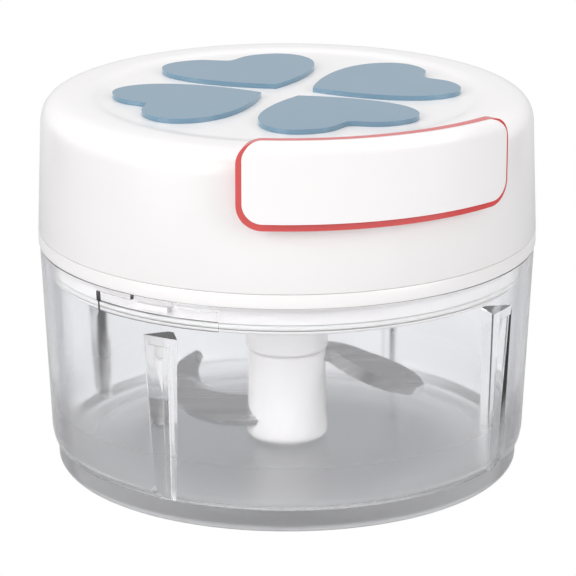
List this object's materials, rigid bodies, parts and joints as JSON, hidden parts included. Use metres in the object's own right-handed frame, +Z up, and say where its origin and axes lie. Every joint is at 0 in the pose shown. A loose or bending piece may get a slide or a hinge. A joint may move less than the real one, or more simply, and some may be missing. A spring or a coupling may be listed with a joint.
{
  "type": "manual pull-cord food chopper",
  "caption": "Hand-pulled mini food chopper: clear bowl, white bayonet lid with heart inlays, sprung pull grip on a cord, recoil reel and a two-blade column.",
  "frame": {"origin": "centre of the bowl's underside, on the surface it stands on", "axes": "+Z up; the pull grip is on the -Y side, turned 20.5 degrees towards +X; the four ribs and hearts are on quarter turns"},
  "size_m": [0.085, 0.0886, 0.0676],
  "materials": {
    "clear": "clear moulded plastic",
    "white": "satin white moulded plastic",
    "blue": "satin grey-blue plastic",
    "red": "glossy coral red plastic",
    "steel": "turned steel",
    "blade_steel": "ground stainless steel",
    "spring_steel": "blued spring steel",
    "seal": "soft white silicone",
    "cord": "braided white cord",
    "mechanism": "grey acetal"
  },
  "bodies": {
    "bowl": {"bowl": "clear", "bowl_pin": "white"},
    "seal": {"lid_seal": "seal"},
    "lid": {"lid_shell": "white", "lid_base": "white", "heart_1": "blue", "heart_2": "blue", "heart_3": "blue", "heart_4": "blue", "lid_screw_1": "steel", "lid_screw_2": "steel", "lid_screw_3": "steel", "lid_screw_4": "steel", "cord_eyelet": "white", "cord_inner": "cord", "arbor_washer": "steel", "arbor_screw": "steel"},
    "handle": {"handle_grip": "white", "handle_rim": "red", "cord_knot": "cord", "cord_outer": "cord"},
    "reel": {"cord_reel": "mechanism", "cord_winding": "cord", "reel_cap": "mechanism", "recoil_spring": "spring_steel", "pawl_spring_1": "spring_steel", "pawl_spring_2": "spring_steel"},
    "pawl_1": {"pawl_1": "steel"},
    "pawl_2": {"pawl_2": "steel"},
    "drive": {"drive_coupling": "mechanism"},
    "blade": {"blade_column": "white", "blade_collar": "white", "blade_bush": "steel", "upper_blade": "blade_steel", "lower_blade": "blade_steel"}
  },
  "joints": [
    {"name": "lid_lift", "type": "slide", "parent": "bowl", "child": "seal", "axis": [0, 0, 1], "range_m": [0, 0.12]},
    {"name": "lid_twist", "type": "hinge", "parent": "seal", "child": "lid", "pos_m": [0, 0, 0.037], "axis": [0, 0, 1], "range_deg": [-11, 11]},
    {"name": "handle_pull", "type": "slide", "parent": "lid", "child": "handle", "axis": [0.3502, -0.9367, 0], "range_m": [0, 0.3], "stiffness_N_per_m": 15, "springref_m": -0.1},
    {"name": "reel_spin", "type": "hinge", "parent": "lid", "child": "reel", "pos_m": [0, 0, 0.056], "axis": [0, 0, 1], "range_deg": [-1150, 0], "deforming": ["recoil_spring"]},
    {"name": "pawl_1_pivot", "type": "hinge", "parent": "reel", "child": "pawl_1", "pos_m": [0.01352, -0.00362, 0.05], "axis": [0, 0, 1], "range_deg": [-12, 0], "stiffness_Nm_per_rad": 0.002, "springref_deg": 5.73},
    {"name": "pawl_2_pivot", "type": "hinge", "parent": "reel", "child": "pawl_2", "pos_m": [-0.01352, 0.00362, 0.05], "axis": [0, 0, 1], "range_deg": [-12, 0]},
    {"name": "drive_spin", "type": "hinge", "parent": "lid", "child": "drive", "pos_m": [0, 0, 0.045], "axis": [0, 0, 1], "range_deg": [-1150, 0]},
    {"name": "blade_release", "type": "slide", "parent": "drive", "child": "blade", "axis": [0, 0, -1], "range_m": [0, 0.06]}
  ],
  "couplings": [
    {"joint": "reel_spin", "follows": "handle_pull", "rad_per_m": -66.667},
    {"joint": "drive_spin", "follows": "handle_pull", "rad_per_m": -66.667},
    {"joint": "pawl_2_pivot", "follows": "pawl_1_pivot", "ratio": 1},
    {"joint": "blade_release", "follows": "lid_lift", "ratio": 0.5}
  ]
}
